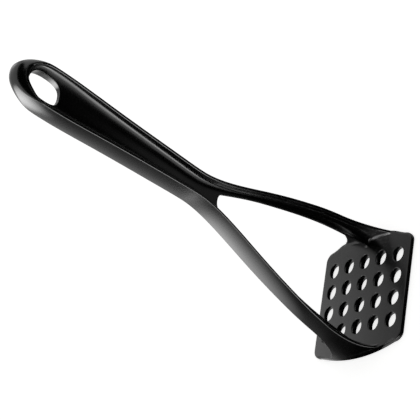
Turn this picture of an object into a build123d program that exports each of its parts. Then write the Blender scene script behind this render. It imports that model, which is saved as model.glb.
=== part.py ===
from build123d import *
import os

# A one-piece moulded potato masher, standing on its mashing plate with the handle up.
# X runs across the fork, Y through the thin depth of the grip and Z up to the hang end.
# The origin is the middle of the plate's underside. All sizes are in millimetres.
# The real thing is one moulding, so its frame is drawn whole and then divided
# into the regions that a person would name, which meet face to face.

# Overall
total_height = 263.0
overrun = 5.0

# Mashing plate: flat below, crowned above, with bowed ends
plate_length = 75.2
plate_width = 62.2
plate_end_radius = 75.0
plate_corner_radius = 4.0
plate_middle_thickness = 4.3
plate_edge_thickness = 2.3

# Mashing holes: rows along the plate's length, columns across its width
hole_length = 9.0
hole_width = 6.6
row_pitch = 13.35
column_pitch = 11.5
row_count = 4
column_count = 5

# Rails: the deep band that runs up one arm, round the hang end and down the other arm
rail_wall = 2.0
inset_steps = 4

# Web: the thin wall at mid-depth between the rails, and the rib along each arm
web_thickness = 1.8

# Grip outline, seen from the front
grip_width = 23.8
grip_middle_width = 17.8
waist_width = 14.2
waist_height = 137.0
grip_middle_share = 0.427
tip_height = 23.0

# Depth of the rails, seen from the side
arm_depth = 11.7
fork_depth = 12.6
grip_depth = 11.0

# Channel's far end and the hang hole through its web, both measured down from the top
end_bar = 6.5
channel_end_radius = 6.5
hang_hole_width = 13.4
hang_hole_length = 20.2
hang_hole_drop = 19.4
hang_hole_corner_share = 0.43

# Fork opening, inside the arms' ribs
fork_height = 121.2
fork_crotch_width = 7.0
fork_crotch_radius = 3.2
fork_base_width = 59.8

# Feet: each rail flares along the end of the plate
foot_length = 39.0
foot_flare_height = 31.0
foot_fold_radius = 3.4
foot_setback = 0.3

# Heights at which one region of the moulding ends and the next begins, and the hang end's length
foot_top = 33.0
arm_top = 104.0
fork_top = 146.0
hang_end_length = 35.0

# Points of the arm's outer line: shares of the foot's reach and of the waist's height
arm_outer_shares = [(0.922, 0.214), (0.807, 0.378), (0.665, 0.528), (0.496, 0.677), (0.323, 0.822)]
# Points of the rib's inner line: shares of half the fork's base and of the fork's height
arm_inner_shares = [(0.893, 0.291), (0.615, 0.619), (0.405, 0.805)]

half_length = plate_length / 2
foot_reach = half_length - foot_setback
half_base = fork_base_width / 2
tip_start = total_height - tip_height
channel_end_height = total_height - end_bar
grip_middle_height = waist_height + grip_middle_share * (tip_start - waist_height)
grip_top = total_height - hang_end_length

# Front outline of the whole moulded frame
with BuildSketch() as outline:
    with BuildLine() as outer_line:
        arm_points = [(foot_reach * x, waist_height * z) for x, z in arm_outer_shares]
        waist = (waist_width / 2, waist_height)
        grip_middle = (grip_middle_width / 2, grip_middle_height)
        widest = (grip_width / 2, tip_start)
        foot_line = Line((foot_reach, -overrun), (foot_reach, 0))
        arm_line = Spline([(foot_reach, 0), *arm_points, waist], tangents=[(0, 1), (0, 1)])
        grip_line = Spline([waist, grip_middle, widest], tangents=[(0, 1), (0, 1)])
        tip_line = EllipticalCenterArc((0, tip_start), grip_width / 2, tip_height, 0, arc_size=90)
        mirror(about=Plane.YZ)
        Line((-foot_reach, -overrun), (foot_reach, -overrun))
    make_face()


def inset_points(line, wall):
    """Points along an upward line, set in from it by a wall's thickness."""
    shares = [step / inset_steps for step in range(inset_steps + 1)]
    return [line @ u + (line % u).rotate(Axis.Z, 90) * wall for u in shares]


# Space between the rails, from the fold at the plate to beyond the hang hole
with BuildSketch() as channel:
    with BuildLine():
        inner_reach = foot_reach - rail_wall
        Line((inner_reach, -overrun), (inner_reach, 0))
        for line in (arm_line, grip_line, tip_line):
            Spline(inset_points(line, rail_wall), tangents=[line % 0, line % 1])
        mirror(about=Plane.YZ)
        Line((-inner_reach, -overrun), (inner_reach, -overrun))
    make_face()
    with Locations((0, plate_edge_thickness)):
        Rectangle(plate_length, channel_end_height - plate_edge_thickness,
                  align=(Align.CENTER, Align.MIN), mode=Mode.INTERSECT)
    fillet(channel.vertices().group_by(Axis.Y)[0], foot_fold_radius)
    fillet(channel.vertices().group_by(Axis.Y)[-1], channel_end_radius)

with BuildSketch() as hang_hole:
    with Locations((0, total_height - hang_hole_drop)):
        RectangleRounded(hang_hole_width, hang_hole_length, hang_hole_corner_share * hang_hole_width)

# Opening of the fork, down to the plate
with BuildSketch() as fork_opening:
    with BuildLine():
        rib_points = [(half_base * x, fork_height * z) for x, z in arm_inner_shares]
        crotch = (fork_crotch_width / 2, fork_height)
        Line((half_base, -overrun), (half_base, 0))
        Spline([(half_base, 0), *rib_points, crotch], tangents=[(0, 1), (-1, 2)])
        mirror(about=Plane.YZ)
        Line((-half_base, -overrun), (half_base, -overrun))
        Line((-fork_crotch_width / 2, fork_height), crotch)
    make_face()
    fillet(fork_opening.vertices().group_by(Axis.Y)[-1], fork_crotch_radius)
    with Locations((0, plate_edge_thickness)):
        Rectangle(plate_length, total_height, align=(Align.CENTER, Align.MIN), mode=Mode.INTERSECT)
    fillet(fork_opening.vertices().group_by(Axis.Y)[0], foot_fold_radius)

# Side outline of the rails: feet flared along the plate, a slim grip and a half-round nose
with BuildSketch() as side_outline:
    with BuildLine():
        flare = (foot_length - arm_depth) / 2
        flare_drop = foot_flare_height - (plate_middle_thickness + plate_edge_thickness) / 2
        Line((foot_length / 2, -overrun), (foot_length / 2, foot_flare_height - flare_drop))
        EllipticalCenterArc((foot_length / 2, foot_flare_height), flare, flare_drop, 180,
                            arc_size=90)
        nose_start = total_height - grip_depth / 2
        ThreePointArc((arm_depth / 2, foot_flare_height), (fork_depth / 2, fork_height),
                      (grip_depth / 2, nose_start))
        CenterArc((0, nose_start), grip_depth / 2, 0, 90)
        mirror(about=Plane.YZ)
        Line((-foot_length / 2, -overrun), (foot_length / 2, -overrun))
    make_face()

# Plan outline of the plate, with its two bowed ends
with BuildSketch() as plate_outline:
    Rectangle(plate_length, plate_width)
    for side in (-1, 1):
        with Locations((side * (half_length - plate_end_radius), 0)):
            Circle(plate_end_radius, mode=Mode.INTERSECT)
    fillet(plate_outline.vertices(), plate_corner_radius)

# Section of the plate across its width: flat underside and crowned top
with BuildSketch() as plate_section:
    with BuildLine():
        low_left = (-plate_width / 2, 0)
        low_right = (plate_width / 2, 0)
        high_left = (-plate_width / 2, plate_edge_thickness)
        high_right = (plate_width / 2, plate_edge_thickness)
        Polyline(high_left, low_left, low_right, high_right)
        ThreePointArc(high_right, (0, plate_middle_thickness), high_left)
    make_face()

with BuildPart() as mashing_plate:
    with BuildSketch(Plane.XY):
        add(plate_outline.sketch)
    extrude(amount=plate_middle_thickness)
    with BuildSketch(Plane.YZ.offset(-plate_length)):
        add(plate_section.sketch)
    extrude(amount=2 * plate_length, mode=Mode.INTERSECT)
    with BuildSketch(Plane.XY):
        with GridLocations(row_pitch, column_pitch, row_count, column_count):
            Ellipse(hole_length / 2, hole_width / 2)
    extrude(amount=plate_middle_thickness, mode=Mode.SUBTRACT)
mashing_plate.part.label = "mashing_plate"

# The frame: rails and web as one moulding, standing on the plate
with BuildPart() as frame:
    with BuildSketch(Plane.XZ.offset(-plate_width)):
        add(outline.sketch)
        add(channel.sketch, mode=Mode.SUBTRACT)
    extrude(amount=2 * plate_width)
    with BuildSketch(Plane.XZ.offset(-web_thickness / 2)):
        add(outline.sketch)
        add(fork_opening.sketch, mode=Mode.SUBTRACT)
        add(hang_hole.sketch, mode=Mode.SUBTRACT)
    extrude(amount=web_thickness)
    with BuildSketch(Plane.YZ.offset(-plate_length)):
        add(side_outline.sketch)
    extrude(amount=2 * plate_length, mode=Mode.INTERSECT)
    with BuildSketch(Plane.XY):
        add(plate_outline.sketch)
    extrude(amount=total_height + overrun, mode=Mode.INTERSECT)
    with BuildSketch(Plane.YZ.offset(-plate_length)):
        add(plate_section.sketch)
    extrude(amount=2 * plate_length, mode=Mode.SUBTRACT)


def keep_stretch(low, high, side=Align.CENTER):
    """Cut the part being built down to the stretch of the frame between two heights."""
    with Locations((0, 0, low)):
        Box(plate_length, plate_width, high - low, align=(side, Align.CENTER, Align.MIN),
            mode=Mode.INTERSECT)


with BuildPart() as right_foot:
    add(frame.part)
    keep_stretch(0, foot_top, side=Align.MIN)
right_foot.part.label = "right_foot"

with BuildPart() as left_foot:
    mirror(right_foot.part, about=Plane.YZ)
left_foot.part.label = "left_foot"

with BuildPart() as right_arm:
    add(frame.part)
    keep_stretch(foot_top, arm_top, side=Align.MIN)
right_arm.part.label = "right_arm"

with BuildPart() as left_arm:
    mirror(right_arm.part, about=Plane.YZ)
left_arm.part.label = "left_arm"

with BuildPart() as fork:
    add(frame.part)
    keep_stretch(arm_top, fork_top)
fork.part.label = "fork"

with BuildPart() as grip:
    add(frame.part)
    keep_stretch(fork_top, grip_top)
grip.part.label = "grip"

with BuildPart() as hang_end:
    add(frame.part)
    keep_stretch(grip_top, total_height + overrun)
hang_end.part.label = "hang_end"

os.makedirs("parts", exist_ok=True)
export_step(mashing_plate.part, "parts/mashing_plate.step")
export_step(left_foot.part, "parts/left_foot.step")
export_step(right_foot.part, "parts/right_foot.step")
export_step(left_arm.part, "parts/left_arm.step")
export_step(right_arm.part, "parts/right_arm.step")
export_step(fork.part, "parts/fork.step")
export_step(grip.part, "parts/grip.step")
export_step(hang_end.part, "parts/hang_end.step")
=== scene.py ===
import math

import bmesh
import bpy
import numpy as np
from mathutils import Matrix, Vector


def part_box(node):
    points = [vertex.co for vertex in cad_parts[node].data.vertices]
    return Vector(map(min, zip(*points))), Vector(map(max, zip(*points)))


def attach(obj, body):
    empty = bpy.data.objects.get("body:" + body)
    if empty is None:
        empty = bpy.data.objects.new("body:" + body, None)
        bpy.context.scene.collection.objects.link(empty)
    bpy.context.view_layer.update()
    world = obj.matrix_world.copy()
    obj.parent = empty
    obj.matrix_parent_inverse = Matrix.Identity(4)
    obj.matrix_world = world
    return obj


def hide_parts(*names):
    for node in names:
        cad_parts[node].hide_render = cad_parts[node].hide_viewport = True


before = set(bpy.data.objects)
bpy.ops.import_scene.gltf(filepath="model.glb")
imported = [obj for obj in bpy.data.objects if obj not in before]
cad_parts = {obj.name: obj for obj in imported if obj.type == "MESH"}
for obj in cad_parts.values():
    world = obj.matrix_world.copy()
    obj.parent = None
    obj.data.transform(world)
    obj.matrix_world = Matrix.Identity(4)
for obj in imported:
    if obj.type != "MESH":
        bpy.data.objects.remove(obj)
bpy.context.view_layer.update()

# A one-piece moulded potato masher in black glass-filled nylon, standing on its plate.
# The object's lengths are in millimetres, and mm turns them into Blender's metres.
mm = 0.001
bodyName = "root"
weldGap = 0.0004                  # points closer than this are joined

plateHigh = np.array(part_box("mashing_plate")[1]) / mm
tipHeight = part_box("hang_end")[1].z / mm


def smoothStep(low, high, value):
    # 0 below low, 1 above high, and a cubic ease between them
    t = np.clip((value - low) / (high - low), 0.0, 1.0)
    return t * t * (3.0 - 2.0 * t)


def clampedSpline(xs, ys, slopeLow=0.0, slopeHigh=0.0):
    # The cubic through every point whose slopes and curvatures join up, with both end slopes given
    xs, ys = np.asarray(xs, float), np.asarray(ys, float)
    step = np.diff(xs)
    rise = np.diff(ys) / step**2
    matrix = np.eye(len(xs))
    right = np.zeros(len(xs))
    right[0], right[-1] = slopeLow, slopeHigh
    for i in range(1, len(xs) - 1):
        matrix[i, i - 1:i + 2] = 1 / step[i - 1], 2 / step[i - 1] + 2 / step[i], 1 / step[i]
        right[i] = 3 * (rise[i - 1] + rise[i])
    slopes = np.linalg.solve(matrix, right)

    def curve(x):
        i = np.clip(np.searchsorted(xs, x) - 1, 0, len(xs) - 2)
        t = (x - xs[i]) / step[i]
        return ((1 + 2 * t) * (1 - t)**2 * ys[i] + t * (1 - t)**2 * step[i] * slopes[i]
                + t**2 * (3 - 2 * t) * ys[i + 1] + t**2 * (t - 1) * step[i] * slopes[i + 1])
    return curve


def gridFaces(rows, columns, start, closed):
    # Four-cornered faces of a grid of points numbered row by row; closed joins its last column to its first
    r, c = np.meshgrid(np.arange(rows - 1), np.arange(columns if closed else columns - 1), indexing="ij")
    r, c = r.ravel(), c.ravel()
    after = (c + 1) % columns
    return start + np.stack([r * columns + c, r * columns + after,
                             (r + 1) * columns + after, (r + 1) * columns + c], axis=1)


def buildPiece(name, grids, node, material):
    # Joins grids of points into one closed mesh that stands for a CAD node. An open end is capped flat,
    # and the cap's rim is sharp so that the skin is shaded as one moulding across the next piece.
    vertices, faces, start = [], [], 0
    for points, closed in grids:
        rows, columns = points.shape[:2]
        faces.append(gridFaces(rows, columns, start, closed))
        vertices.append(points.reshape(-1, 3))
        start += rows * columns
    mesh = bpy.data.meshes.new(name)
    mesh.from_pydata((np.concatenate(vertices) * mm).tolist(), [], np.concatenate(faces).tolist())
    work = bmesh.new()
    work.from_mesh(mesh)
    bmesh.ops.remove_doubles(work, verts=work.verts, dist=weldGap * mm)
    bmesh.ops.dissolve_degenerate(work, edges=work.edges, dist=weldGap * mm)
    for face in work.faces:
        face.smooth = True
    rim = [edge for edge in work.edges if edge.is_boundary]
    if rim:
        caps = bmesh.ops.holes_fill(work, edges=rim, sides=0)["faces"]
        for face in caps:
            face.smooth = False
            for edge in face.edges:
                edge.smooth = False
        bmesh.ops.triangulate(work, faces=caps)
    bmesh.ops.recalc_face_normals(work, faces=work.faces)
    openEdges = sum(1 for edge in work.edges if not edge.is_manifold)
    work.to_mesh(mesh)
    work.free()
    mesh.materials.append(material)
    piece = bpy.data.objects.new(name, mesh)
    bpy.context.scene.collection.objects.link(piece)
    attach(piece, bodyName)
    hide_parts(node)
    print("made", name, "with", len(mesh.polygons), "faces and", openEdges, "open edges")


# Material

nylonLook = {
    "baseColor": "#050505",       # carbon-black pigment: the resin itself is nearly black
    "ior": 1.53,                  # nylon
    "roughness": 0.23,            # fine spark-eroded mould face, satin
    "roughnessSpread": 0.03,
    "grainSize": 0.35,            # mould texture, about three times as coarse as it is, so that it shows
    "grainDepth": 0.002,
    "grainStrength": 0.5,
    "cloudSize": 16.0,            # slow flow of the melt, seen as a faint change in gloss
    "cloudRange": (0.3, 0.7),     # values of the noise that give the least and the most gloss
}


def linearColor(text):
    # sRGB hex to the linear values that shaders take
    channels = [int(text[i:i + 2], 16) / 255 for i in (1, 3, 5)]
    return [c / 12.92 if c <= 0.04045 else ((c + 0.055) / 1.055)**2.4 for c in channels] + [1.0]


def addNode(tree, kind, settings=None, inputs=None):
    # One node with its settings, its socket values and the links that come into it
    node = tree.nodes.new(kind)
    for key, value in (settings or {}).items():
        setattr(node, key, value)
    for key, value in (inputs or {}).items():
        if isinstance(value, bpy.types.NodeSocket):
            tree.links.new(value, node.inputs[key])
        else:
            node.inputs[key].default_value = value
    return node


def emptyMaterial(name):
    # A material without nodes yet, and its tree
    material = bpy.data.materials.new(name)
    material.use_nodes = True
    material.node_tree.nodes.clear()
    return material, material.node_tree


def satinNylon():
    # Injection-moulded glass-filled nylon: a deep black that shows only its satin reflections
    look = nylonLook
    material, tree = emptyMaterial("satinNylon")
    place = addNode(tree, "ShaderNodeTexCoord").outputs["Object"]
    grain = addNode(tree, "ShaderNodeTexNoise", {},
                    {"Vector": place, "Scale": 1 / (look["grainSize"] * mm), "Detail": 2.0})
    clouds = addNode(tree, "ShaderNodeTexNoise", {},
                     {"Vector": place, "Scale": 1 / (look["cloudSize"] * mm), "Detail": 3.0})
    gloss = addNode(tree, "ShaderNodeMapRange", {},
                    {"Value": clouds.outputs["Fac"],
                     "From Min": look["cloudRange"][0], "From Max": look["cloudRange"][1],
                     "To Min": look["roughness"] - look["roughnessSpread"],
                     "To Max": look["roughness"] + look["roughnessSpread"]})
    bump = addNode(tree, "ShaderNodeBump", {},
                   {"Height": grain.outputs["Fac"], "Strength": look["grainStrength"],
                    "Distance": look["grainDepth"] * mm})
    shader = addNode(tree, "ShaderNodeBsdfPrincipled", {},
                     {"Base Color": linearColor(look["baseColor"]), "IOR": look["ior"],
                      "Roughness": gloss.outputs["Result"], "Normal": bump.outputs["Normal"]})
    addNode(tree, "ShaderNodeOutputMaterial", {}, {"Surface": shader.outputs["BSDF"]})
    return material


nylon = satinNylon()
print("material ready")


# Mashing plate

plateShape = {
    "halfLength": plateHigh[0],
    "halfWidth": plateHigh[1],
    "middleThickness": plateHigh[2],
    "edgeThickness": 2.3,
    "endRadius": 75.0,            # bow of both ends
    "cornerRadius": 5.2,
    "rows": 4, "columns": 5,
    "rowPitch": 13.35, "columnPitch": 11.5,
    "holeLength": 9.0, "holeWidth": 6.6,
    "holeRound": 0.35,
    "edgeRound": 1.1,
    "underRound": 0.5,
    "endFrom": (30.0, 33.0),      # distance along X at which the rim counts as an end, where a foot stands
    "footTo": (18.8, 23.5),       # distance along Y at which the foot on that end has run out
    "squareShare": 0.97,          # how much of the edge's round is gone under a foot
    "perSide": 16,                # points along each side of a hole's cell
}


def crownHeight(y):
    # Arched top: falls with the square of the distance from the middle line
    s = plateShape
    return s["middleThickness"] - (s["middleThickness"] - s["edgeThickness"]) * (y / s["halfWidth"])**2


def plateEnd(y):
    # Bowed end: how far the plate reaches along X at this y
    r = plateShape["endRadius"]
    return plateShape["halfLength"] - r + np.sqrt(r * r - y * y)


def squareRing(count):
    # Directions to points spaced evenly along a square's sides, starting at its lower right corner
    t = np.arange(count) / count * 2 - 1
    one = np.ones(count)
    return np.concatenate([np.stack([one, t], 1), np.stack([-t, one], 1),
                           np.stack([-one, -t], 1), np.stack([t, -one], 1)])


def holeCell(cx, cy):
    # Skin of one cell: from its border over the top, down the oval wall and back under to the border
    s = plateShape
    ring = squareRing(s["perSide"])
    border = ring * [s["rowPitch"] / 2, s["columnPitch"] / 2]
    angle = np.arctan2(border[:, 1] / s["columnPitch"], border[:, 0] / s["rowPitch"])
    oval = np.stack([np.cos(angle), np.sin(angle)], 1)
    half = np.array([s["holeLength"], s["holeWidth"]]) / 2
    r = s["holeRound"]
    # each row: its points in plan, whether it follows the crown, and its height over crown or underside
    rows = []
    for t in (0.0, 0.35, 0.65, 0.88):
        rows.append((border * (1 - t) + oval * (half + r) * t, 1.0, 0.0))
    for a in np.linspace(0, math.pi / 2, 5):
        rows.append((oval * (half + r - r * math.sin(a)), 1.0, -r * (1 - math.cos(a))))
    for a in np.linspace(math.pi / 2, 0, 4):
        rows.append((oval * (half + r - r * math.sin(a)), 0.0, r * (1 - math.cos(a))))
    for t in (0.6, 0.0):
        rows.append((border * (1 - t) + oval * (half + r) * t, 0.0, 0.0))
    points = []
    for flat, top, shift in rows:
        x, y = flat[:, 0] + cx, flat[:, 1] + cy
        points.append(np.stack([x, y, crownHeight(y) * top + shift], 1))
    return np.array(points)


def plateOutline(direction):
    # Where a ray from the middle leaves the plate: its bowed, round-cornered outline in polar form
    s = plateShape
    r = s["cornerRadius"]
    y = s["halfWidth"] - r
    centre = np.array([plateEnd(y) - r, y])
    end = np.linspace(0, y, 60)
    turn = np.linspace(0, math.pi / 2, 40)
    corner = centre + r * np.stack([np.cos(turn), np.sin(turn)], 1)
    side = np.linspace(centre[0], 0, 60)
    quarter = np.concatenate([np.stack([plateEnd(end), end], 1), corner,
                              np.stack([side, np.full(60, s["halfWidth"])], 1)])
    angles = np.arctan2(quarter[:, 1], quarter[:, 0])
    reach = np.hypot(quarter[:, 0], quarter[:, 1])
    order = np.argsort(angles)
    wanted = np.arctan2(np.abs(direction[:, 1]), np.abs(direction[:, 0]))
    return np.interp(wanted, angles[order], reach[order])


def plateBorder():
    # Margin round the block of cells: out over the top, round the edge and back under
    s = plateShape
    ring = squareRing(s["perSide"])
    half = np.array([s["rows"] * s["rowPitch"], s["columns"] * s["columnPitch"]]) / 2
    alongX, alongY = s["rows"] * s["perSide"], s["columns"] * s["perSide"]
    x = (np.arange(alongX) / alongX * 2 - 1) * half[0]
    y = (np.arange(alongY) / alongY * 2 - 1) * half[1]
    inner = np.concatenate([np.stack([np.full(alongY, half[0]), y], 1),
                            np.stack([-x, np.full(alongX, half[1])], 1),
                            np.stack([np.full(alongY, -half[0]), -y], 1),
                            np.stack([x, np.full(alongX, -half[1])], 1)])
    unit = inner / np.hypot(inner[:, 0], inner[:, 1])[:, None]
    outer = unit * plateOutline(unit)[:, None]
    # where a foot stands, the edge is left square, so that foot and end run into each other
    atEnd = smoothStep(*s["endFrom"], np.abs(outer[:, 0]))
    underFoot = atEnd * (1 - smoothStep(*s["footTo"], np.abs(outer[:, 1])))
    top = (s["edgeRound"] * (1 - s["squareShare"] * underFoot))[:, None]
    low = s["underRound"]

    def ringAt(inset, onCrown, lift):
        flat = outer - unit * inset
        z = crownHeight(flat[:, 1]) if onCrown else np.zeros(len(flat))
        return np.column_stack([flat, z + np.ravel(lift)])
    points = []
    for t in (0.0, 0.3, 0.6, 0.85):
        flat = inner * (1 - t) + (outer - unit * top) * t
        points.append(np.column_stack([flat, crownHeight(flat[:, 1])]))
    for a in np.linspace(0, math.pi / 2, 6):
        points.append(ringAt(top * (1 - math.sin(a)), True, -top * (1 - math.cos(a))))
    for a in np.linspace(math.pi / 2, 0, 5):
        points.append(ringAt(low * (1 - math.sin(a)), False, low * (1 - math.cos(a))))
    for t in (0.5, 0.0):
        flat = inner * (1 - t) + (outer - unit * low) * t
        points.append(np.column_stack([flat, np.zeros(len(flat))]))
    return np.array(points)


def makePlate():
    # The margin and one cell for each hole, which join into one skin where their borders meet
    s = plateShape
    grids = [(plateBorder(), True)]
    for i in range(s["rows"]):
        for j in range(s["columns"]):
            cx = (i - (s["rows"] - 1) / 2) * s["rowPitch"]
            cy = (j - (s["columns"] - 1) / 2) * s["columnPitch"]
            grids.append((holeCell(cx, cy), True))
    buildPiece("mashingPlate", grids, "mashing_plate", nylon)


makePlate()
print("plate made")


# Handle: one deep rail runs up an arm, round the hang end and down the other arm, with a web inside it

handleShape = {
    # middle line of the rail's outer face on the arms and on the grip: height and half width
    "outerPoints": [(2.2, 37.6), (5.6, 37.5), (13.3, 36.85), (21.4, 35.81), (29.3, 34.64), (45.3, 31.83),
                    (62.1, 27.83), (72.3, 25.04), (92.7, 18.75), (112.6, 12.32), (122.0, 9.76),
                    (139.0, 7.42)],
    "gripPoints": [(139.0, 7.42), (152.0, 7.79), (176.6, 8.83), (200.6, 10.05), (223.6, 11.5),
                   (240.0, 12.05)],
    # inner line of the rib along each arm, and how fast it closes in where it turns under the crotch
    "ribPoints": [(2.2, 30.1), (35.3, 26.7), (59.5, 22.2), (75.0, 18.4), (97.6, 12.1), (117.6, 5.1)],
    "ribEndSlope": -0.3675,
    "crotchTop": 121.0,
    "crotchCorner": 0.74,         # place of the crotch's corner, as a share of the rib's last half width
    "crotchShares": (0.33, 0.46),  # how far the outer face has climbed the fork at the crotch's two ends
    # radius of the outer face across its depth, by height: the foot's is that of the plate's end
    "bowPoints": [(33.0, 75.0), (60.0, 42.0), (200.0, 42.0), (240.0, 28.0)],
    # half depth along Y at three heights, and the foot's flare
    "depthPoints": [(31.0, 5.85), (121.0, 6.3), (263.0, 5.5)],
    "footHalfLength": 19.5,
    "footFlareTop": 32.5,
    "footFlareBase": 3.3,
    "foldRadius": 1.4,            # hollow round where a foot folds into the plate
    # section: rail wall, wall at the foot's base, half thickness of the web, and rounds
    "wall": 1.9,
    "footWall": 2.75,
    "webHalf": 0.9,
    "rimRound": 0.55,
    "innerRound": 0.75,
    "ribRound": 0.35,
    "rimShare": 0.45,             # most of the wall that the rim's outer round may take
    "noseShare": 0.5,             # and how much the nose's larger rounding may add to that
    "innerShare": 0.9,            # most of what is left that the inner round may take
    # squareness of the channel's section on the arms, grip and hang end, and heights of the change
    "sectionPowers": (3.2, 2.3, 2.0),
    "gripChange": (104.0, 146.0),
    "endChange": (215.0, 236.0),
    # hang end: the nose is half a superellipse, and so is the channel's end inside it
    "tipStart": 240.0,
    "tipPower": 2.2,
    "tipCorner": (5.6, 4.7),      # rounding of the nose, inward and down
    "tipChange": (0.38, 0.86),    # share of the way round the hang hole over which the rim becomes the nose
    "wallChange": (0.0, 0.2),     # share of it over which the wall becomes what the channel's end leaves
    "channelEnd": 256.5,
    "channelEndPower": 2.4,
    "endHollow": 11.9,            # reach of the channel's hollow round the hang hole
    "holeCentre": 243.6,
    "holeHalfWidth": 6.8,
    "holeHalfHeight": 10.1,
    "holePower": 2.8,
    "cuts": [33.0, 104.0, 146.0, 228.0],    # heights at which foot, arm, fork, grip and hang end meet
}


def along(key, slopeLow=None, slopeHigh=0.0):
    # One line of the handle by height: the cubic through its points. Its lower end follows the first two
    # points unless a slope is given.
    zs, xs = np.array(handleShape[key]).T
    low = (xs[1] - xs[0]) / (zs[1] - zs[0]) if slopeLow is None else slopeLow
    return clampedSpline(zs, xs, low, slopeHigh)


armOuter = along("outerPoints")
gripOuter = along("gripPoints", 0.0)
ribInner = along("ribPoints", None, handleShape["ribEndSlope"])


def railDepth(z):
    # Half depth along Y: a parabola through three heights, and a quarter ellipse of flare at the foot
    s = handleShape
    (z0, y0), (z1, y1), (z2, y2) = s["depthPoints"]
    slim = (y0 * (z - z1) * (z - z2) / ((z0 - z1) * (z0 - z2))
            + y1 * (z - z0) * (z - z2) / ((z1 - z0) * (z1 - z2))
            + y2 * (z - z0) * (z - z1) / ((z2 - z0) * (z2 - z1)))
    drop = s["footFlareTop"] - s["footFlareBase"]
    u = np.clip((s["footFlareTop"] - z) / drop, 0, 1)
    flare = (s["footHalfLength"] - y0) * (1 - np.sqrt(1 - u * u))
    return np.where(z < s["footFlareTop"], y0 + flare, slim)


def outerLine(z):
    # Half width of the frame's outline below the rounded tip
    return np.where(z < handleShape["gripPoints"][0][0], armOuter(z), gripOuter(z))


def footRows():
    # Level rows from a foot's outer line to the rib's inner line, close together where the flare runs
    # out along the plate
    s = handleShape
    angle = np.linspace(math.pi / 2, 0, 90)
    z = s["footFlareTop"] - (s["footFlareTop"] - s["footFlareBase"]) * np.sin(angle)
    z = np.append(z, s["cuts"][0])
    return np.stack([outerLine(z), z], 1), np.stack([ribInner(z), z], 1)


def armRows():
    # Level rows from an arm's outer line to the rib's inner line
    z = np.linspace(handleShape["cuts"][0], handleShape["cuts"][1], 66)
    return np.stack([outerLine(z), z], 1), np.stack([ribInner(z), z], 1)


def forkRows():
    # Rows that tilt round the crotch: their inner ends follow the rib, turn under the crotch and climb
    # the middle. The third result says which rows end at the opening's edge.
    s = handleShape
    low, high = s["cuts"][1:3]
    ribZ = np.linspace(low, s["ribPoints"][-1][0], 14)
    rib = np.stack([ribInner(ribZ), ribZ], 1)
    t = np.linspace(0, 1, 12)[1:, None]
    corner = np.array([rib[-1, 0] * s["crotchCorner"], s["crotchTop"]])
    end = np.array([0.0, s["crotchTop"]])
    bend = rib[-1] * (1 - t)**2 + 2 * corner * t * (1 - t) + end * t**2
    middle = np.linspace(s["crotchTop"], high, 22)[1:]
    inner = np.concatenate([rib, bend, np.stack([0 * middle, middle], 1)])
    edges = np.arange(len(inner)) < len(rib) + len(bend)
    # the outer ends climb steadily between the two cuts, by the way that the inner ends have come
    way = np.concatenate([[0], np.cumsum(np.hypot(*np.diff(inner, axis=0).T))])
    marks = way[[0, len(rib) - 1, len(rib) + len(bend) - 1, -1]]
    climb = clampedSpline(marks, [0, *s["crotchShares"], 1], 1 / (high - low), 1 / (high - low))
    z = low + (high - low) * climb(way)
    return np.stack([outerLine(z), z], 1), inner, edges


def gripRows():
    # Level rows from the grip's outer line to its middle
    z = np.linspace(handleShape["cuts"][2], handleShape["cuts"][3], 60)
    return np.stack([outerLine(z), z], 1), np.stack([0 * z, z], 1)


def hangRows():
    # Rows that fan round the hang hole, from level ones below it to an upright one at the tip.
    # The third result is the last level row's number.
    s = handleShape
    holeLow = s["holeCentre"] - s["holeHalfHeight"]
    z = np.linspace(s["cuts"][3], holeLow, 7)
    outer, inner = np.stack([outerLine(z), z], 1), np.stack([0 * z, z], 1)
    # outline above the last level row: the grip's line, then a half superellipse
    zSide = np.linspace(holeLow, s["tipStart"], 20)
    turn = np.linspace(0, math.pi / 2, 80)[1:]
    full = 2 / s["tipPower"]
    tip = np.stack([s["gripPoints"][-1][1] * np.cos(turn)**full,
                    s["tipStart"] + (tipHeight - s["tipStart"]) * np.sin(turn)**full], 1)
    line = np.concatenate([np.stack([outerLine(zSide), zSide], 1), tip])
    lineAngle = np.arctan2(line[:, 1] - s["holeCentre"], line[:, 0])
    share = np.linspace(0, 1, 61)[1:]
    outAngle = lineAngle[0] + (math.pi / 2 - lineAngle[0]) * share
    holeAngle = outAngle - (math.pi / 2 + lineAngle[0]) * (1 - share)**3
    x, z = np.interp(outAngle, lineAngle, line[:, 0]), np.interp(outAngle, lineAngle, line[:, 1])
    # superellipse in polar form: squarer than an oval, rounder than a slot
    p = s["holePower"]
    reach = ((np.abs(np.cos(holeAngle)) / s["holeHalfWidth"])**p
             + (np.abs(np.sin(holeAngle)) / s["holeHalfHeight"])**p)**(-1 / p)
    hole = np.stack([reach * np.cos(holeAngle), s["holeCentre"] + reach * np.sin(holeAngle)], 1)
    x[-1], hole[-1, 0] = 0.0, 0.0
    outer = np.concatenate([outer, np.stack([x, z], 1)])
    inner = np.concatenate([inner, hole])
    return outer, inner, len(inner) - len(share) - 1


def slantOf(outer, inner):
    # Unit steps along the rows, and the share of a step that goes straight in from the outer line
    step = inner - outer
    across = step / np.hypot(step[:, 0], step[:, 1])[:, None]
    tangent = np.gradient(outer, axis=0)
    tangent /= np.hypot(tangent[:, 0], tangent[:, 1])[:, None]
    return across, np.abs(across[:, 0] * tangent[:, 1] - across[:, 1] * tangent[:, 0])[:, None]


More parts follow.
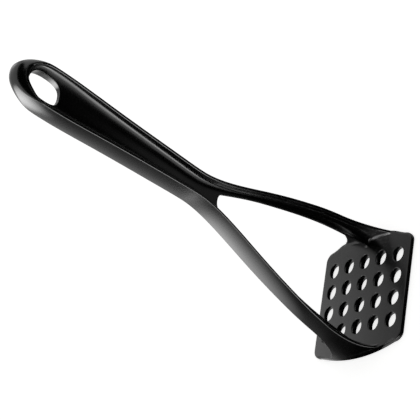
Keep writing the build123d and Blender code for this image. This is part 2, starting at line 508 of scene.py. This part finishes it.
def railSection(outer, inner, hollow, edges, wall=None, cornerIn=None, cornerDown=None):
    # Carries the rail's section along its rows. Across each row the section climbs the bowed outer face,
    # rounds the rim, drops into the channel down a superellipse as wide as the hollow and crosses the web.
    # The second grid goes on from there: it rounds the edge and meets the middle, in the rows with an edge.
    s = handleShape
    rows = len(outer)
    wall, cornerIn, cornerDown, hollow, power = (
        np.broadcast_to(value, rows)[:, None]
        for value in (s["wall"] if wall is None else wall,
                      s["rimRound"] if cornerIn is None else cornerIn,
                      s["rimRound"] if cornerDown is None else cornerDown,
                      hollow, sectionPower(outer[:, 1])))
    across, lean = slantOf(outer, inner)
    total = np.hypot(*(inner - outer).T)[:, None] * lean
    deep = railDepth(outer[:, 1])[:, None]
    bow = np.interp(outer[:, 1], *np.array(s["bowPoints"]).T)[:, None]

    def bowIn(y):
        return bow - np.sqrt(bow**2 - y**2)

    def grid(ins, ups):
        # distances in from the outer line and heights along Y, turned into points
        depthIn, height = np.concatenate(ins, axis=1), np.concatenate(ups, axis=1)
        flat = outer[:, None, :] + across[:, None, :] * (depthIn / lean)[:, :, None]
        return np.stack([flat[..., 0], height, flat[..., 1]], axis=2)
    ins, ups = [], []
    for t in np.linspace(0, 1, 9)[:-1]:
        y = t * (deep - cornerDown)
        ins.append(bowIn(y))
        ups.append(y)
    # rim: an outer and an inner round with a flat between them
    start = bowIn(deep - cornerDown)
    most = s["rimShare"] * (wall - start) + s["noseShare"] * np.maximum(cornerIn - s["rimRound"], 0)
    cornerIn = np.minimum(cornerIn, most)
    innerRound = np.minimum(s["innerRound"], s["innerShare"] * (wall - start - cornerIn))
    for a in np.linspace(0, math.pi / 2, 9):
        ins.append(start + cornerIn * (1 - math.cos(a)))
        ups.append(deep - cornerDown * (1 - math.sin(a)))
    flatEnd = wall - innerRound
    ins.append((start + cornerIn + flatEnd) / 2)
    ups.append(deep + 0 * wall)
    for a in np.linspace(0, math.pi / 2, 7):
        ins.append(flatEnd + innerRound * math.sin(a))
        ups.append(deep - innerRound * (1 - math.cos(a)))
    # channel: a quarter superellipse from the wall towards the web, cut off where the row ends
    edgeRound = np.where(edges, s["ribRound"], 0.0)[:, None]
    width = hollow - wall
    shareEnd = np.clip(1 - (total - edgeRound - wall) / width, 0, 1)
    last = np.arccos(shareEnd**(power / 2))
    drop = deep - innerRound - s["webHalf"]
    for t in np.linspace(0, 1, 19)[1:]:
        a = last * t
        ins.append(wall + width * (1 - np.cos(a)**(2 / power)))
        ups.append(s["webHalf"] + drop * (1 - np.sin(a)**(2 / power)))
    # flat web beyond the hollow
    flatFloor = np.maximum(total - edgeRound - wall - width, 0)
    for t in (1 / 3, 2 / 3, 1.0):
        ins.append(wall + width * (1 - shareEnd) + flatFloor * t)
        ups.append(ups[-1])
    skin = grid(ins, ups)
    edgeHeight = skin[:, -1:, 1]
    ins, ups = [], []
    for a in np.linspace(0, math.pi / 2, 5):
        ins.append(total - edgeRound * (1 - math.sin(a)))
        ups.append(edgeHeight - edgeRound * (1 - math.cos(a)))
    for t in (0.5, 0.0):
        ins.append(total)
        ups.append((edgeHeight - edgeRound) * t)
    return skin, grid(ins, ups)[edges]


def sectionPower(z):
    # Power of the channel's superellipse by height: squarest on the arms, a plain ellipse in the hang end
    arms, grip, end = handleShape["sectionPowers"]
    toGrip, toEnd = smoothStep(*handleShape["gripChange"], z), smoothStep(*handleShape["endChange"], z)
    return arms + (grip - arms) * toGrip + (end - grip) * toEnd


def mirrored(points, axis):
    # The same points with one coordinate's sign turned
    other = points.copy()
    other[..., axis] *= -1
    return other


def closeSection(grids, bothSides):
    # The section is drawn for +X and +Y, and its mirror images close it
    result = []
    for points in grids:
        pair = [points, mirrored(points, 1)]
        if bothSides:
            pair += [mirrored(p, 0) for p in pair]
        result += [(p, False) for p in pair]
    return result


def buildSides(names, nodes, grids):
    # A piece on the right-hand side and its mirror image on the left
    buildPiece(names[0], grids, nodes[0], nylon)
    buildPiece(names[1], [(mirrored(p, 0), closed) for p, closed in grids], nodes[1], nylon)


def foldIn(points, inside):
    # Rounds a foot's inner face into the plate: a quarter-round hollow, measured up from the crowned top
    r = handleShape["foldRadius"]
    above = np.clip(points[..., 2] - crownHeight(points[..., 1]), 0, r)
    moved = points.copy()
    moved[..., 0] -= inside * (r - np.sqrt(r * r - (r - above)**2))
    return moved


def makeFeet():
    # The rail's section with a wall that thickens down to the plate and folds into it on the inside
    s = handleShape
    outer, inner = footRows()
    thin = smoothStep(s["footFlareBase"], s["cuts"][0], outer[:, 1])
    wall = s["footWall"] + (s["wall"] - s["footWall"]) * thin
    skin, edge = railSection(outer, inner, outer[:, 0] - inner[:, 0], np.ones(len(outer), bool), wall)
    inside = (outer[:, :1] - skin[..., 0]) / wall[:, None]
    skin = foldIn(skin, smoothStep(0.5, 1.0, inside))
    grids = closeSection([skin, foldIn(edge, 1.0)], False)
    buildSides(("rightFoot", "leftFoot"), ("right_foot", "left_foot"), grids)


def makeArms():
    # The rail's section up an arm, with the channel as wide as the arm and a rounded edge along the rib
    outer, inner = armRows()
    grids = railSection(outer, inner, outer[:, 0] - inner[:, 0], np.ones(len(outer), bool))
    buildSides(("rightArm", "leftArm"), ("right_arm", "left_arm"), closeSection(grids, False))


def makeFork():
    # The channel's hollow widens from an arm's to the grip's, and what is left of a row is flat web
    outer, inner, edges = forkRows()
    low, high = handleShape["cuts"][1:3]
    armHollow = armOuter(low) - ribInner(low)
    hollow = armHollow + (gripOuter(high) - armHollow) * smoothStep(low, high, outer[:, 1])
    buildPiece("forkJoint", closeSection(railSection(outer, inner, hollow, edges), True), "fork", nylon)


def makeGrip():
    # The rail's section up the grip, where the channel's two halves meet in the middle
    outer, inner = gripRows()
    skin = railSection(outer, inner, outer[:, 0], np.zeros(len(outer), bool))[0]
    buildPiece("gripChannel", closeSection([skin], True), "grip", nylon)


def endWall(outer, inner):
    # Wall left by the channel's rounded end: how far in from the outer line each row enters the channel
    s = handleShape
    halfWidth = s["gripPoints"][-1][1] - s["wall"]
    t = np.linspace(0, 1, 400)
    x = outer[:, :1] + (inner - outer)[:, :1] * t
    z = outer[:, 1:] + (inner - outer)[:, 1:] * t
    rise = np.maximum(z - s["tipStart"], 0) / (s["channelEnd"] - s["tipStart"])
    inChannel = (np.abs(x) / halfWidth)**s["channelEndPower"] + rise**s["channelEndPower"] < 1
    first = t[np.argmax(inChannel, axis=1)]
    return first * np.hypot(*(inner - outer).T) * slantOf(outer, inner)[1][:, 0]


def makeHangEnd():
    # The rail's section fanned round the hang hole. On the way to the tip the wall grows to what the
    # channel's end leaves, and the rim's rounds grow into the nose.
    s = handleShape
    outer, inner, level = hangRows()
    number = np.arange(len(outer))
    share = np.clip((number - level) / (len(outer) - 1 - level), 0, 1)
    wall = s["wall"] + (endWall(outer, inner) - s["wall"]) * smoothStep(*s["wallChange"], share)
    cornerIn, cornerDown = (s["rimRound"] + (size - s["rimRound"]) * smoothStep(*s["tipChange"], share)
                            for size in s["tipCorner"])
    hollow = np.where(share > 0, s["endHollow"], outer[:, 0])
    grids = railSection(outer, inner, hollow, number >= level, wall, cornerIn, cornerDown)
    buildPiece("hangEnd", closeSection(grids, True), "hang_end", nylon)


makeFeet()
makeArms()
makeFork()
makeGrip()
makeHangEnd()
print("handle made")


# Camera, at the photograph's view

cameraLook = {
    "place": (0.4856, 0.6698, 0.7247),
    "right": (-0.1494, 0.7171, -0.6808),
    "up": (-0.8701, 0.2317, 0.4350),
    "lens": 170.35,
    "sensor": 36.0,
    "farthest": 20.0,
}


def makeCamera():
    # Placed and turned by the directions that are right and up in the picture
    data = bpy.data.cameras.new("camera")
    data.lens = cameraLook["lens"]
    data.sensor_width = cameraLook["sensor"]
    data.clip_end = cameraLook["farthest"]
    camera = bpy.data.objects.new("camera", data)
    right, up = Vector(cameraLook["right"]).normalized(), Vector(cameraLook["up"]).normalized()
    turn = Matrix((right, up, right.cross(up))).transposed().to_4x4()
    camera.matrix_world = Matrix.Translation(cameraLook["place"]) @ turn
    bpy.context.scene.collection.objects.link(camera)
    bpy.context.scene.camera = camera


makeCamera()
print("camera set")


# Floor, world and key light, in metres

floorPaper = -0.0001              # height of what lies on the floor under the plate

studioLook = {
    "floorColor": "#e6e6e4",
    "floorSize": 6.0,
    "floorHeight": -0.0002,
    "floorGlow": 0.75,            # added to the lit paper where it is looked at, so that it shows as white
    "fill": 0.35,
    "keyPlace": (-0.46, -0.68, 0.42),
    "keySize": (0.60, 0.32),
    "keyRadiance": 0.75,
}


def seenDirectly(tree):
    # 1 for camera, glossy and transmission rays, so that reflections show the same white background
    path = addNode(tree, "ShaderNodeLightPath")
    pair = addNode(tree, "ShaderNodeMath", {"operation": "MAXIMUM"},
                   {0: path.outputs["Is Camera Ray"], 1: path.outputs["Is Glossy Ray"]})
    return addNode(tree, "ShaderNodeMath", {"operation": "MAXIMUM"},
                   {0: pair.outputs["Value"], 1: path.outputs["Is Transmission Ray"]}).outputs["Value"]


def makeFloor():
    # Sweep of pale paper that the masher stands on
    size = studioLook["floorSize"] / 2
    mesh = bpy.data.meshes.new("floor")
    mesh.from_pydata([(-size, -size, 0), (size, -size, 0), (size, size, 0), (-size, size, 0)], [],
                     [(0, 1, 2, 3)])
    floor = bpy.data.objects.new("floor", mesh)
    bpy.context.scene.collection.objects.link(floor)
    floor.location.z = studioLook["floorHeight"]
    material, tree = emptyMaterial("paleSweep")
    paper = addNode(tree, "ShaderNodeBsdfDiffuse", {}, {"Color": linearColor(studioLook["floorColor"])})
    glow = addNode(tree, "ShaderNodeMath", {"operation": "MULTIPLY"},
                   {0: seenDirectly(tree), 1: studioLook["floorGlow"]})
    white = addNode(tree, "ShaderNodeEmission", {},
                    {"Color": (1, 1, 1, 1), "Strength": glow.outputs["Value"]})
    both = addNode(tree, "ShaderNodeAddShader", {},
                   {0: paper.outputs["BSDF"], 1: white.outputs["Emission"]})
    addNode(tree, "ShaderNodeOutputMaterial", {}, {"Surface": both.outputs["Shader"]})
    mesh.materials.append(material)


def makeWorld():
    # White where it is looked at or mirrored, and dimmer as a light on the object
    world = bpy.data.worlds.new("studio")
    bpy.context.scene.world = world
    world.use_nodes = True
    tree = world.node_tree
    tree.nodes.clear()
    strength = addNode(tree, "ShaderNodeMapRange", {},
                       {"Value": seenDirectly(tree), "To Min": studioLook["fill"], "To Max": 1.0})
    sky = addNode(tree, "ShaderNodeBackground", {},
                  {"Color": (1, 1, 1, 1), "Strength": strength.outputs["Result"]})
    addNode(tree, "ShaderNodeOutputWorld", {}, {"Surface": sky.outputs["Background"]})


def makeKeyBox():
    # An area lamp whose face has the key's radiance, turned to the plate and unseen by the camera
    place, (width, height) = Vector(studioLook["keyPlace"]), studioLook["keySize"]
    data = bpy.data.lights.new("keyBox", "AREA")
    data.shape = "RECTANGLE"
    data.size, data.size_y = width, height
    data.energy = studioLook["keyRadiance"] * math.pi * width * height
    lamp = bpy.data.objects.new("keyBox", data)
    lamp.matrix_world = Matrix.Translation(place) @ (-place).to_track_quat("-Z", "Y").to_matrix().to_4x4()
    lamp.visible_camera = False
    bpy.context.scene.collection.objects.link(lamp)


makeFloor()
makeWorld()
makeKeyBox()


# Cards beside the object, in metres. Black nylon shows little but reflections, so black felt keeps the
# white background out of them, and soft cards glow where they show a light streak.

def blackFelt():
    material, tree = emptyMaterial("blackFelt")
    face = addNode(tree, "ShaderNodeBsdfDiffuse", {}, {"Color": linearColor("#080808")})
    addNode(tree, "ShaderNodeOutputMaterial", {}, {"Surface": face.outputs["BSDF"]})
    return material


def diffuserCloth(name, clear):
    # Backlit cloth that glows as strongly as its card says point by point.
    # Clear cloth adds its glow to what is behind it, and thick cloth hides that.
    material, tree = emptyMaterial(name)
    glow = addNode(tree, "ShaderNodeAttribute", {"attribute_name": "glow"})
    face = addNode(tree, "ShaderNodeEmission", {}, {"Strength": glow.outputs["Fac"]}).outputs["Emission"]
    if clear:
        behind = addNode(tree, "ShaderNodeBsdfTransparent")
        both = addNode(tree, "ShaderNodeAddShader", {}, {0: behind.outputs["BSDF"], 1: face})
        face = both.outputs["Shader"]
    addNode(tree, "ShaderNodeOutputMaterial", {}, {"Surface": face})
    return material


felt = blackFelt()
clearCloth, thickCloth = diffuserCloth("clearDiffuser", True), diffuserCloth("thickDiffuser", False)


def standCard(name, points, faces, material, glow=None):
    # A card that only reflections see
    mesh = bpy.data.meshes.new(name)
    mesh.from_pydata([tuple(point) for point in points], [], [tuple(face) for face in faces])
    if glow is not None:
        values = np.ravel(glow).astype(np.float32)
        mesh.attributes.new("glow", "FLOAT", "POINT").data.foreach_set("value", values)
    card = bpy.data.objects.new(name, mesh)
    bpy.context.scene.collection.objects.link(card)
    mesh.materials.append(material)
    card.visible_camera = False
    card.visible_shadow = False
    card.visible_diffuse = False


def glowCard(name, points, glow, material):
    # A card drawn as a grid of points, with its glow at each of them
    rows, columns = glow.shape
    standCard(name, points.reshape(-1, 3), gridFaces(rows, columns, 0, False).tolist(), material, glow)


feltLook = {
    # corners of each flag, in order round it: on the floor, or standing and hanging at the height given
    "rearFlag": [(-0.037, 0.0313, floorPaper), (0.037, 0.0313, floorPaper), (0.14, 0.30, floorPaper),
                 (-0.2, 1.4, floorPaper), (-1.4, 1.2, floorPaper), (-0.6, 0.0, floorPaper),
                 (-0.06, 0.0, floorPaper)],
    "topFlag": [(-4.0, 0.2, 1.5), (0.8, 0.2, 1.5), (0.8, 4.0, 1.5), (-4.0, 4.0, 1.5)],
    "rearWall": [(-1.2, 1.6, 0.0), (0.3, 1.6, 0.0), (0.3, 1.6, 1.5), (-1.2, 1.6, 1.5)],
    "frontFlag": [(-0.06, -0.034, floorPaper), (0.022, -0.034, floorPaper),
                  (0.026, -0.16, floorPaper), (-0.05, -0.16, floorPaper)],
    "rightWall": [(0.3, 1.6, 0.0), (0.55, 0.02, 0.0), (0.55, 0.02, 1.5), (0.3, 1.6, 1.5)],
}

underPlateShadeLook = {
    # strip of black felt under each row of holes, painted shade for the floor that the plate shades, seen
    # from the row's middle line: both sides and half length
    "left": -0.0028,
    "right": 0.0046,
    "halfLength": 0.03,
}


def makeFlags():
    # The flags, and a strip of black felt on the floor under each row of holes as painted shade under the
    # plate
    for name, corners in feltLook.items():
        standCard(name, corners, [range(len(corners))], felt)
    s = underPlateShadeLook
    for row in range(plateShape["rows"]):
        middle = (row - (plateShape["rows"] - 1) / 2) * plateShape["rowPitch"] * mm
        corners = [(middle + x, y, floorPaper)
                   for x, y in ((s["left"], -s["halfLength"]), (s["right"], -s["halfLength"]),
                                (s["right"], s["halfLength"]), (s["left"], s["halfLength"]))]
        standCard("rowShade" + str(row + 1), corners, [range(4)], felt)


armGlowLook = {
    # glow along the right arm's outer face, by the height and depth (mm) of the face that reflects it:
    # strongest at one height, fading down steadily, up roundly, and to both sides
    "peak": 4.7,
    "height": 102.0, "below": 62.0, "above": 31.0,
    "side": -5.0, "width": 12.0,
    "heights": (40.0, 146.0), "sides": (-12.0, 9.0),
    "reach": 0.030,               # level distance from the face to the card
}


def mirroredPlace(z, y, reach):
    # Where a line of sight gets to when the outer face turns it as a mirror does: from the face along
    # twice the normal times its share of the sight, less the sight
    step = 0.5
    slope = (outerLine(z + step) - outerLine(z - step)) / (2 * step)
    bow = np.interp(z, *np.array(handleShape["bowPoints"]).T)
    spot = np.stack([outerLine(z) - bow + np.sqrt(bow**2 - y**2), y, z], axis=-1) * mm
    normal = np.stack([np.ones_like(z), y / bow, -slope], axis=-1)
    normal /= np.linalg.norm(normal, axis=-1, keepdims=True)
    sight = np.array(cameraLook["place"]) - spot
    sight /= np.linalg.norm(sight, axis=-1, keepdims=True)
    turned = 2 * (normal * sight).sum(-1, keepdims=True) * normal - sight
    return spot + turned * reach / np.hypot(turned[..., :1], turned[..., 1:2])


def makeArmGlow():
    # The card stands where the arm's outer face mirrors the camera. Its glow falls evenly with the
    # distance from the brightest point, taken as a share of the fade's reach.
    s = armGlowLook
    z, y = np.meshgrid(np.linspace(*s["heights"], 25), np.linspace(*s["sides"], 15), indexing="ij")
    up = np.where(z < s["height"], (s["height"] - z) / s["below"], ((z - s["height"]) / s["above"])**2)
    side = (y - s["side"]) / s["width"]
    glow = s["peak"] * np.clip(1 - np.hypot(up, side), 0, 1)
    glowCard("armGlow", mirroredPlace(z, y, s["reach"]), glow, clearCloth)


softLook = {
    # four-cornered soft cards: both ends of the first side, then of the side across from it, glow in the
    # middle, how it falls off (a power of the distance from the middle, and the soft share of the reach)
    # and points along both sides
    "tipGlow": {"corners": [[(0.0597, -0.1449, 0.150), (0.0597, -0.1449, 0.330)],
                            [(0.1403, -0.0671, 0.150), (0.1403, -0.0671, 0.330)]],
                "peak": 9.5, "power": 2, "soft": 1.0, "points": (21, 21)},
    "edgeGlow": {"corners": [[(0.075, -0.007, 0.0), (0.42, -0.06, 0.0)],
                             [(0.070, 0.040, 0.0), (0.34, 0.26, 0.0)]],
                 "peak": 6.0, "power": 1, "soft": 0.4, "points": (9, 17)},
    "sideGlow": {"corners": [[(0.37, -0.02, 0.0), (0.37, -0.02, 0.16)],
                             [(0.20, 0.31, 0.0), (0.20, 0.31, 0.16)]],
                 "peak": 4.5, "power": 1, "soft": 0.4, "points": (9, 17)},
    "rearGlow": {"corners": [[(-0.225, 0.072, 0.0), (-0.225, 0.272, 0.0)],
                             [(-0.025, 0.072, 0.0), (-0.025, 0.272, 0.0)]],
                 "peak": 0.22, "power": 2, "soft": 1.0, "points": (17, 17)},
}


def fourCorners(corners, across, up):
    # Values between four corners: mixed from end to end of both sides, then from side to side
    (a, b), (c, d) = np.array(corners)
    across, up = across[..., None], up[..., None]
    return (a * (1 - up) + b * up) * (1 - across) + (c * (1 - up) + d * up) * across


def makeSoftCard(name):
    # A card whose glow fades from its middle to nothing on the oval that touches its sides
    s = softLook[name]
    u, v = np.meshgrid(*(np.linspace(-1, 1, count) for count in s["points"]), indexing="ij")
    glow = s["peak"] * np.clip((1 - np.hypot(u, v)**s["power"]) / s["soft"], 0, 1)
    glowCard(name, fourCorners(s["corners"], (u + 1) / 2, (v + 1) / 2), glow, clearCloth)


shadedGlowLook = {
    # glowing cloth on the floor to the right of the feet, painted light and shade for the feet's
    # reflections: direction from the foot's middle in degrees and glow, near the foot and far from it,
    # mostly lower near the foot as painted shade, and the distances between which one turns into the other
    "middle": (0.030, 0.0),
    "near": [(-84, 1.0), (-76, 0.8), (-68, 0.42), (-57, 0.13), (-40, 0.03), (-9, 0.0), (45, 0.0)],
    "far": [(-84, 1.0), (-75, 0.8), (-62, 0.38), (-50, 0.24), (-40, 0.12), (-25, 0.08), (-8, 0.04),
            (45, 0.0)],
    "nearToFar": (0.036, 0.065),
    # the two fans: distances of their arcs, first and last direction
    "fans": {"nearShadedGlow": ((0.0065, 0.015, 0.025, 0.036), -84, 70),
             "farShadedGlow": ((0.036, 0.043, 0.050, 0.058, 0.065, 0.3, 1.3), -84, -8)},
    "step": 2,
}


def makeShadedGlow():
    # Fans of glowing cloth on the floor whose glow is painted lighter and darker by direction, round the
    # foot close by and less far beyond: painted light and shade in the feet's reflections
    s = shadedGlowLook
    near, far = (np.array(s[key], float).T for key in ("near", "far"))
    for name, (reaches, first, last) in s["fans"].items():
        reach, direction = np.meshgrid(reaches, np.arange(first, last + 1, s["step"]), indexing="ij")
        turn = np.radians(direction)
        points = np.stack([s["middle"][0] + reach * np.cos(turn), s["middle"][1] + reach * np.sin(turn),
                           np.full(reach.shape, floorPaper)], axis=2)
        share = smoothStep(*s["nearToFar"], reach)
        glow = np.interp(direction, *near) * (1 - share) + np.interp(direction, *far) * share
        glowCard(name, points, glow, thickCloth)


skyLook = {
    # sky card that the plate mirrors, 0.3 m away: where the plate's near left corner shows it, and the
    # steps from there to what the right and the far corners show
    "origin": (-0.103, -0.256, 0.145),
    "right": (0.0, 0.159, 0.095),
    "far": (-0.066, 0.0, 0.0),
    # the card goes on past those corners, by shares of the steps
    "rightShares": (-0.5, 1.5), "farShares": (-0.6, 1.6),
    # glow at the near left, far left, near right and far right corners
    "glow": [(1.45, 0.60), (0.60, 0.45)],
}


def makeSky():
    # A flat card whose glow mixes the four corners' values and stays level beyond them
    s = skyLook
    right, far = np.meshgrid(np.linspace(*s["rightShares"], 21), np.linspace(*s["farShares"], 23),
                             indexing="ij")
    origin, rightStep, farStep = (np.array(s[key]) for key in ("origin", "right", "far"))
    points = origin + right[..., None] * rightStep + far[..., None] * farStep
    glow = fourCorners(s["glow"], np.clip(right, 0, 1), np.clip(far, 0, 1))[..., 0]
    glowCard("skyCard", points, glow, thickCloth)


makeFlags()
makeArmGlow()
makeSoftCard("tipGlow")
makeShadedGlow()
makeSky()
for name in ("edgeGlow", "sideGlow", "rearGlow"):
    makeSoftCard(name)

bpy.context.scene.view_settings.view_transform = "Standard"
print("stage set")
